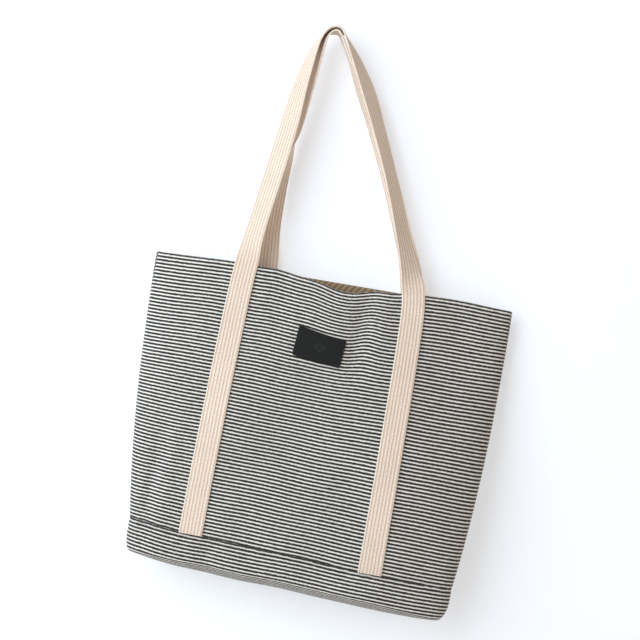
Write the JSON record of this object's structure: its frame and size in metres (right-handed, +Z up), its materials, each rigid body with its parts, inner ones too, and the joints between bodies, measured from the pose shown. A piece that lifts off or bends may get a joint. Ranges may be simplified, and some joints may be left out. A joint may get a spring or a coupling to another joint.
{
  "type": "foldable tote bag",
  "caption": "Lined open-top canvas tote with a boxed base, long webbing handles sewn down both walls and a leather label; its lower part folds up behind it.",
  "frame": {"origin": "hang point: the underside of the inner handle's apex, where the peg carries the bag", "axes": "+Z up the bag's own height, from base to mouth, +Y towards the back wall of the bag, +X to the right seen from the front"},
  "size_m": [0.4569, 0.0881, 0.7051],
  "materials": {
    "striped_canvas": "woven cotton canvas in narrow near-black and off-white stripes, matt",
    "webbing": "ribbed cotton webbing, cream ribs with pinkish tan grooves, matt",
    "lining": "khaki cotton lining with slanted darker ribs, matt",
    "label_leather": "black grained leather, satin",
    "thread": "black sewing thread"
  },
  "bodies": {
    "bag_upper": {"front_panel_upper": "striped_canvas", "back_panel_upper": "striped_canvas", "front_lining_upper": "lining", "back_lining_upper": "lining", "front_top_hem": "striped_canvas", "back_top_hem": "striped_canvas", "left_side_seam_upper": "striped_canvas", "right_side_seam_upper": "striped_canvas", "front_strap_left_upper": "webbing", "front_strap_right_upper": "webbing", "rear_strap_left_upper": "webbing", "rear_strap_right_upper": "webbing", "leather_label": "label_leather", "label_stitching": "thread"},
    "bag_lower": {"front_panel_lower": "striped_canvas", "back_panel_lower": "striped_canvas", "front_lining_lower": "lining", "back_lining_lower": "lining", "base_panel": "striped_canvas", "base_lining": "lining", "base_seam": "striped_canvas", "left_side_seam_lower": "striped_canvas", "right_side_seam_lower": "striped_canvas", "front_strap_left_lower": "webbing", "front_strap_right_lower": "webbing", "rear_strap_left_lower": "webbing", "rear_strap_right_lower": "webbing"},
    "front_handle": {"front_handle": "webbing"},
    "rear_handle": {"rear_handle": "webbing"}
  },
  "joints": [
    {"name": "front_handle_flop", "type": "hinge", "parent": "bag_upper", "child": "front_handle", "pos_m": [0, -0.0134, -0.3094], "axis": [1, 0, 0], "range_deg": [0, 150]},
    {"name": "rear_handle_flop", "type": "hinge", "parent": "bag_upper", "child": "rear_handle", "pos_m": [0, 0.0179, -0.3094], "axis": [-1, 0, 0], "range_deg": [0, 135]},
    {"name": "fold", "type": "hinge", "parent": "bag_upper", "child": "bag_lower", "pos_m": [0.062, 0.0195, -0.5694], "axis": [1, 0, 0], "range_deg": [0, 174]}
  ]
}
